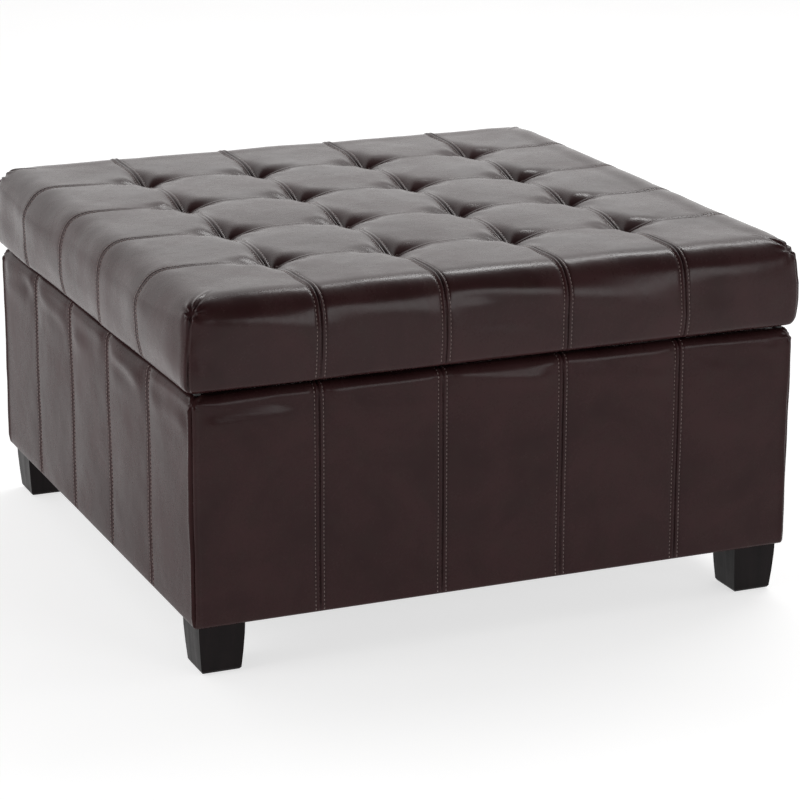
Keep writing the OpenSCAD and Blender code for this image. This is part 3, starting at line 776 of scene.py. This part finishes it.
def lid_foam():
    """The foam block under the cover, a little smaller all round, with a flat underside on the board."""
    board_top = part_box("lid_board")[1].z
    normal = mesh_normals(core_points, core_sheet.faces)
    p = core_points - normal * FOAM_INSET
    tuft = np.hypot(nearest_seam(p[:, 0]), nearest_seam(p[:, 1]))
    p[:, 2] -= np.where(core_sheet.side == -1, 6 * MM * bell(tuft, 26 * MM), 0)
    keep = core_sheet.profile[:, 1] > board_top + 3 * MM
    rings = core_sheet.rings[keep]
    n = core_sheet.n
    x, y = np.meshgrid(core_sheet.stops, core_sheet.stops)
    under = np.stack([x, y, np.full_like(x, board_top + 0.3 * MM)], -1).reshape(-1, 3)
    grid = np.arange(n * n).reshape(n, n) + len(p)
    edge = np.concatenate([grid[0, :-1], grid[:-1, -1], grid[-1, :0:-1], grid[:0:-1, 0]])
    rows = np.concatenate([rings, edge[None]])
    up, down = rows[:-1], rows[1:]
    walls = np.stack([up, down, np.roll(down, -1, 1), np.roll(up, -1, 1)], -1).reshape(-1, 4)
    cells = core_sheet.grid
    top = np.stack([cells[:-1, :-1], cells[:-1, 1:], cells[1:, 1:], cells[1:, :-1]], -1)
    bottom = np.stack([grid[:-1, :-1], grid[1:, :-1], grid[1:, 1:], grid[:-1, 1:]], -1)
    faces = np.concatenate([top.reshape(-1, 4), walls, bottom.reshape(-1, 4)])
    points = np.concatenate([p, under])
    used, compact = np.unique(faces, return_inverse=True)
    return make_mesh("lid_foam_block", points[used], compact.reshape(faces.shape), FINISHES["foam"])


foam = piece(lid_foam(), "lid", "foam", "lid_foam")
frame_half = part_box("lid_board")[1].x + 0.3 * MM
pad_out, pad_z0, pad_z1 = LID_HALF - 4.5 * MM, LID_Z0 + 3 * MM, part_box("lid_board")[1].z
lid_section = [(pad_out, pad_z1), (pad_out, LID_Z0 + LID_HEM_R), (pad_out - 3 * MM, pad_z0 + 2 * MM)]
lid_section += [(pad_out - 7 * MM, pad_z0), (frame_half, pad_z0), (frame_half, pad_z1)]
side_pad = closed_ring("lid_side_wadding", lid_section, 24 * MM, FINISHES["foam"])
piece(side_pad, "lid", "foam", "lid_side_padding")

# ---------- base covers ----------

BASE_EDGE_R, BASE_HEM_R, BASE_CORNER_R = 13 * MM, 5 * MM, 4 * MM
TURN_DOWN = 40 * MM


def base_profile():
    """Rings from inside the rim, over it, down the wall and in under the base."""
    rows = [(RIM_IN, z, 1 * MM) for z in np.linspace(BASE_Z1 - TURN_DOWN, BASE_Z1 - 3 * MM, 5)]
    for a in np.radians([30, 60, 90]):
        rows.append((RIM_IN + 3 * MM * (1 - math.cos(a)), BASE_Z1 - 3 * MM + 3 * MM * math.sin(a), 1 * MM))
    for r in np.linspace(RIM_IN + 3 * MM, BASE_HALF - BASE_EDGE_R, 5)[1:]:
        rows.append((r, BASE_Z1, 1 * MM))
    for a in np.radians(np.linspace(90, 0, 9)[1:]):
        r = BASE_HALF - BASE_EDGE_R * (1 - math.cos(a))
        corner = 1 * MM + (BASE_CORNER_R - 1 * MM) * (1 - (BASE_HALF - r) / BASE_EDGE_R)
        rows.append((r, BASE_Z1 - BASE_EDGE_R * (1 - math.sin(a)), corner))
    top, bottom = BASE_Z1 - BASE_EDGE_R, BASE_Z0 + BASE_HEM_R
    near_top = top - np.array([3, 6, 10, 15, 21, 28, 36]) * MM
    for z in np.concatenate([near_top, np.linspace(top - 45 * MM, bottom, 24)]):
        rows.append((BASE_HALF, z, BASE_CORNER_R))
    for a in np.radians(np.linspace(0, 90, 7)[1:]):
        r = BASE_HALF - BASE_HEM_R * (1 - math.cos(a))
        corner = max(BASE_CORNER_R - (BASE_HALF - r), 1 * MM)
        rows.append((r, bottom - BASE_HEM_R * math.sin(a), corner))
    for r in np.linspace(BASE_HALF - BASE_HEM_R, RIM_IN, 4)[1:]:
        rows.append((r, BASE_Z0, 1 * MM))
    return rows


def base_surface():
    """The points of all four covers as one sheet, before it is cut at the corners."""
    sheet = BoxSheet(seam_stops(BASE_HALF), base_profile(), crown=False)
    p = sheet.points
    normal = mesh_normals(p, sheet.faces)
    across, along = sheet.seam_gaps()
    gap = np.where(np.abs(across) < np.abs(along), across, along)
    z = p[:, 2]
    out = np.abs(p[:, :2]).max(1)
    shown = smooth(out, RIM_IN + 2 * MM, RIM_IN + 10 * MM)
    wall = shown * smooth(z, BASE_Z0, BASE_Z0 + 12 * MM)
    middle = np.sin(math.pi / 2 * np.clip(np.abs(gap) / (PITCH / 2), 0, 1))
    relief = 1.2 * MM * middle * wall * smooth(-z, -BASE_Z1, -(BASE_Z1 - 30 * MM))
    drawn = np.where((sheet.side == 1) | (sheet.side == 3), 0.4, 1.0)
    relief += band(gap, drawn) * wall - 0.7 * MM * drawn * np.exp(-np.abs(gap) / (6 * MM)) * wall
    # Each seam is drawn in where it goes over the rolled edge
    over = bell(z - (BASE_Z1 - 10 * MM), 10 * MM) * wall
    relief -= over * 1.6 * MM * bell(gap, 12 * MM)
    relief += over * 0.5 * MM * np.sin(gap / (3.2 * MM)) * bell(np.abs(gap) - 13 * MM, 7 * MM)
    corner = sheet.corner_gap()
    clear = smooth(np.abs(corner), 2 * MM, 40 * MM)
    # Long soft drapes under the rolled edge
    folds = waves(p * np.array([0.35, 0.35, 1.6]) + p[:, [2, 2, 0]] * 0.2, 11, 0.055)
    near_top = bell(z - (BASE_Z1 - 34 * MM), 24 * MM)
    relief += (1.6 * folds + 2.2) * MM * near_top * wall * smooth(np.abs(gap), 4 * MM, 40 * MM) * clear
    relief += (0.40 * MM * waves(p, 12, 0.20) + 0.12 * MM * waves(p, 13, 0.05)) * wall
    wiggle = 0.8 * MM * waves(p * np.array([0, 0, 1]), 14, 0.09)
    seam = 1.8 * MM * bell(np.abs(corner + wiggle) - 4.5 * MM, 2.6 * MM) - 2.4 * MM * bell(corner, 1.6 * MM)
    relief += seam * wall
    relief += pucker(corner, (z - (BASE_Z1 - 8 * MM)) * 1.1) * wall * 0.6
    relief = np.maximum(relief, -1.8 * MM)
    return sheet, p + normal * relief[:, None]


base_sheet, base_points = base_surface()
base_normals = mesh_normals(base_points, base_sheet.faces)
SIDE_NAMES = ["front", "right", "back", "left"]


def base_cover(side):
    index = base_sheet.strip(side)
    rows, columns = index.shape
    grid = np.arange(rows * columns).reshape(rows, columns)
    faces = np.stack([grid[:-1, :-1], grid[1:, :-1], grid[1:, 1:], grid[:-1, 1:]], -1).reshape(-1, 4)
    name = "base_cover_" + SIDE_NAMES[side]
    # Painted shade: the front and back covers take a leather copy with weaker reflection, and the left and
    # right covers one weaker still.
    finish = FINISHES[("front_back_leather_painted_shade", "left_right_leather_painted_shade")[side % 2]]
    cover = make_mesh(name + "_leather", base_points[index.ravel()], faces, finish)
    thicken(cover, 1.2 * MM)
    piece(cover, "base", "leather", name)
    runs = []
    for seam in SEAMS:
        for row in (-ROW, ROW):
            column = int(np.abs(base_sheet.stops - (seam + row)).argmin())
            path = index[:, column]
            height, out = base_points[path, 2], np.abs(base_points[path, :2]).max(1)
            path = path[(height > BASE_Z0 + 2 * MM) & (out > RIM_IN + 4 * MM)]
            runs.append(stitches_along(base_points[path], base_normals[path]))
    piece(stitch_mesh("topstitching_" + SIDE_NAMES[side], runs, FINISHES["thread"]), "base", "leather")


for turn in range(4):
    base_cover(turn)

# ---------- padding on the base's walls ----------

wall_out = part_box("front_panel")[1].x + 0.3 * MM
wall_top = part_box("front_panel")[1].z + 0.3 * MM
pad_inset = 3.2 * MM
pad_out, edge_r = BASE_HALF - pad_inset, BASE_EDGE_R - pad_inset
rim_top, rim_in = BASE_Z1 - pad_inset, RIM_IN + 2.2 * MM
base_section = [(rim_in, wall_top), (rim_in, rim_top - 1 * MM)]
for a in np.radians([90, 65, 40, 20, 0]):
    base_section.append((pad_out - edge_r * (1 - math.cos(a)), rim_top - edge_r * (1 - math.sin(a))))
base_section += [
    (pad_out, BASE_Z0 + 14 * MM),
    (pad_out - 1 * MM, BASE_Z0 + 8 * MM),
    (pad_out - 3 * MM, BASE_Z0 + 4.5 * MM),
]
base_section += [(wall_out, BASE_Z0 + 4 * MM), (wall_out, wall_top)]
wall_pad = closed_ring("base_wall_wadding", base_section, 9 * MM, FINISHES["foam"])
piece(wall_pad, "base", "foam", "base_padding")

# ---------- linings ----------


def rounded_path(corners, radius, step):
    """A closed outline through the corners, each rounded off, with points about step apart."""
    path = []
    count = len(corners)
    for i in range(count):
        here, before, after = (np.array(corners[j % count], float) for j in (i, i - 1, i + 1))
        start = here + (before - here) / np.linalg.norm(before - here) * radius
        end = here + (after - here) / np.linalg.norm(after - here) * radius
        for t in np.linspace(0, 1, 5):
            path.append((1 - t) ** 2 * start + 2 * t * (1 - t) * here + t**2 * end)
        reach = after + (here - after) / np.linalg.norm(here - after) * radius
        run = np.linalg.norm(reach - end)
        for t in np.linspace(0, 1, max(2, int(run / step)) + 1)[1:-1]:
            path.append(end + (reach - end) * t)
    return np.array(path)


def storage_liner():
    """The fabric tub: walls that wrap round the corner posts, and a floor with a soft turn between them."""
    lo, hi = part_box("storage_lining")
    wall = hi.x - 0.7 * MM
    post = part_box("corner_post_back_right")[0].x - 0.6 * MM
    corners = []
    for turn in range(4):
        c, s = (1, 0, -1, 0)[turn], (0, 1, 0, -1)[turn]
        corners += [(c * x - s * y, s * x + c * y) for x, y in ((wall, -post), (wall, post), (post, post))]
    outline = rounded_path(corners, 3 * MM, 14 * MM)
    around = len(outline)
    tangent = np.roll(outline, -1, 0) - np.roll(outline, 1, 0)
    inward = np.stack([-tangent[:, 1], tangent[:, 0]], 1)
    inward /= np.linalg.norm(inward, axis=1)[:, None]
    floor_z = lo.z + 0.6 * MM
    turn_r = 7 * MM
    rows = []
    for z in np.linspace(hi.z - 0.4 * MM, floor_z + turn_r, 22):
        p = np.column_stack([outline, np.full(around, z)])
        below_rim = smooth(-z, -hi.z, -(hi.z - 30 * MM))
        hang = 0.9 * MM * (1 + waves(p * np.array([1, 1, 0.35]), 31, 0.11)) * below_rim
        rows.append(np.column_stack([outline + inward * np.clip(hang, 0, None)[:, None], np.full(around, z)]))
    rim = rows[-1][:, :2]
    for a in np.radians([25, 50, 70, 90]):
        shift = turn_r * (1 - math.cos(a))
        height = floor_z + turn_r * (1 - math.sin(a))
        rows.append(np.column_stack([rim + inward * shift, np.full(around, height)]))
    edge = rows[-1][:, :2]
    for t in np.linspace(1, 0.03, 26)[1:]:
        p = np.column_stack([edge * t, np.full(around, floor_z)])
        p[:, 2] += 0.5 * MM * (1 + np.clip(waves(p, 32, 0.12), -1, 1.5))
        rows.append(p)
    points = np.concatenate(rows + [[[0, 0, floor_z + 0.5 * MM]]])
    index = np.arange(len(rows) * around).reshape(len(rows), around)
    up, down = index[:-1], index[1:]
    faces = np.stack([up, np.roll(up, -1, 1), np.roll(down, -1, 1), down], -1).reshape(-1, 4).tolist()
    middle = len(points) - 1
    faces += [(int(a), int(b), middle) for a, b in zip(index[-1], np.roll(index[-1], -1))]
    caps = []
    for sx, sy in ((-1, -1), (1, -1), (1, 1), (-1, 1)):
        near = post - 0.5 * MM
        square = ((near, near), (wall, near), (wall, wall), (near, wall))
        caps += [(sx * x, sy * y, hi.z - 0.4 * MM) for x, y in (square if sx * sy > 0 else square[::-1])]
    faces += [tuple(len(points) + 4 * k + i for i in range(4)) for k in range(4)]
    points = np.concatenate([points, caps])
    return make_mesh("storage_liner", points, faces, FINISHES["lining_fabric"]), wall, hi.z - floor_z


def flat_cloth(name, half, z, sag, seed):
    """A square of cloth stapled flat at its edges, with a folded hem and a slight slackness."""
    hem = [-half, half, 12 * MM - half, half - 12 * MM]
    stops = np.sort(np.concatenate([np.linspace(-1, 1, 49) * (half - 14 * MM), hem]))
    x, y = np.meshgrid(stops, stops)
    p = np.stack([x, y, np.full_like(x, z)], -1).reshape(-1, 3)
    edge = half - np.abs(p[:, :2]).max(1)
    slack = smooth(edge, 12 * MM, 60 * MM)
    p[:, 2] += np.sign(sag) * (abs(sag) * slack + 0.25 * MM * (1 + waves(p, seed, 0.1)) * slack)
    n = len(stops)
    grid = np.arange(n * n).reshape(n, n)
    faces = np.stack([grid[:-1, :-1], grid[:-1, 1:], grid[1:, 1:], grid[1:, :-1]], -1).reshape(-1, 4)
    return make_mesh(name, p, faces, FINISHES["lining_fabric"])


liner, liner_half, liner_drop = storage_liner()
thicken(liner, 0.6 * MM).modifiers["thickness"].offset = 1
piece(liner, "base", "lining_fabric", "storage_lining")

lid_lining_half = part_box("lid_lining")[1].x
lid_cloth = flat_cloth("lid_underside_cloth", lid_lining_half, LID_Z0 - 0.2 * MM, 0, 41)
thicken(lid_cloth, 0.6 * MM)
piece(lid_cloth, "lid", "lining_fabric", "lid_lining")

dust_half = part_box("dust_cover")[1].x
dust_cloth = flat_cloth("dust_cloth", dust_half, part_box("dust_cover")[1].z - 0.8 * MM, 0, 42)
thicken(dust_cloth, 0.6 * MM)
piece(dust_cloth, "base", "lining_fabric", "dust_cover")

# ---------- light and floor ----------

scene = bpy.context.scene
world = bpy.data.worlds.new("studio")
scene.world = world
world.use_nodes = True
nodes, links = world.node_tree.nodes, world.node_tree.links
sky = nodes["Background"]
direction = nodes.new("ShaderNodeTexCoord").outputs["Generated"]


def sky_ramp(axis, low, high, dark, bright):
    """Strength that rises from dark to bright as the direction's part along an axis goes from low to high."""
    toward = nodes.new("ShaderNodeVectorMath")
    toward.operation = "DOT_PRODUCT"
    toward.inputs[1].default_value = axis
    ramp = nodes.new("ShaderNodeMapRange")
    ramp.interpolation_type = "SMOOTHSTEP"
    links.new(direction, toward.inputs[0])
    links.new(toward.outputs["Value"], ramp.inputs["Value"])
    for key, value in {"From Min": low, "From Max": high, "To Min": dark, "To Max": bright}.items():
        ramp.inputs[key].default_value = value
    return ramp.outputs[0]


glow = nodes.new("ShaderNodeMath")
glow.operation = "MULTIPLY"
links.new(sky_ramp((0.45, 0.89, 0), -0.45, 0.55, 0.10, 1.32), glow.inputs[0])
links.new(sky_ramp((0, 0, 1), 0.66, 0.92, 1.0, 0.22), glow.inputs[1])
links.new(glow.outputs[0], sky.inputs["Strength"])
sky.inputs["Color"].default_value = (1.0, 0.99, 0.985, 1)


def softbox(name, aim, away, distance, width, height, radiance, colour=(1, 1, 1)):
    """A rectangular light in the direction away from the point it is aimed at."""
    light = bpy.data.lights.new(name, "AREA")
    light.shape = "RECTANGLE"
    light.size, light.size_y = width, height
    light.energy = radiance * math.pi * width * height
    light.color = colour
    obj = bpy.data.objects.new(name, light)
    scene.collection.objects.link(obj)
    away = Vector(away).normalized()
    obj.location = Vector(aim) + away * distance
    obj.rotation_euler = away.to_track_quat("Z", "Y").to_euler()


lid_front = (0, -LID_HALF, LID_Z1)
softbox("back_box", lid_front, (0.54, 0.47, 0.70), 5.0, 3.2, 0.52, 15.0)
softbox("front_box", lid_front, (0.39, -0.90, 0.20), 3.0, 1.6, 0.9, 4.6)
softbox("left_box", (-LID_HALF, 0, 0.3), (-0.93, -0.10, 0.36), 3.0, 1.6, 1.2, 6)

FLOOR_HALF = 40.0
FLOOR_GLOW = 0.66
floor = make_mesh(
    "floor",
    [(x * FLOOR_HALF, y * FLOOR_HALF, 0) for x, y in ((-1, -1), (1, -1), (1, 1), (-1, 1))],
    [(0, 1, 2, 3)],
    smooth_faces=False,
)
paper = Finish("white_paper")
paper.done(
    paper.blend(paper.spread(paper.noise(2.5, 3), 0.3, 0.7), (0.51, 0.51, 0.51), (0.53, 0.53, 0.53)),
    0.9,
    paper.bump(paper.noise(900, 3), 0.0001, 0.2),
    specular_ior_level=0.1,
    emission_color=(1, 1, 1, 1),
)
# The floor is plain and pale, and glows a little, the same all over
paper.shader.inputs["Emission Strength"].default_value = FLOOR_GLOW
floor.data.materials.append(paper.material)

# ---------- camera ----------

YAW, PITCH_DOWN, ROLL = math.radians(23.066), math.radians(16.76), math.radians(0.11)
camera_data = bpy.data.cameras.new("camera")
camera_data.lens, camera_data.sensor_width = 130.38, 36
camera_data.clip_end = 100
camera = bpy.data.objects.new("camera", camera_data)
scene.collection.objects.link(camera)
camera.location = (-1.5815, -3.802, 1.4515)
level = math.cos(PITCH_DOWN)
forward = Vector((math.sin(YAW) * level, math.cos(YAW) * level, -math.sin(PITCH_DOWN)))
camera.rotation_mode = "QUATERNION"
camera.rotation_quaternion = forward.to_track_quat("-Z", "Y") @ Matrix.Rotation(ROLL, 3, "Z").to_quaternion()
scene.camera = camera
scene.view_settings.view_transform = "Standard"
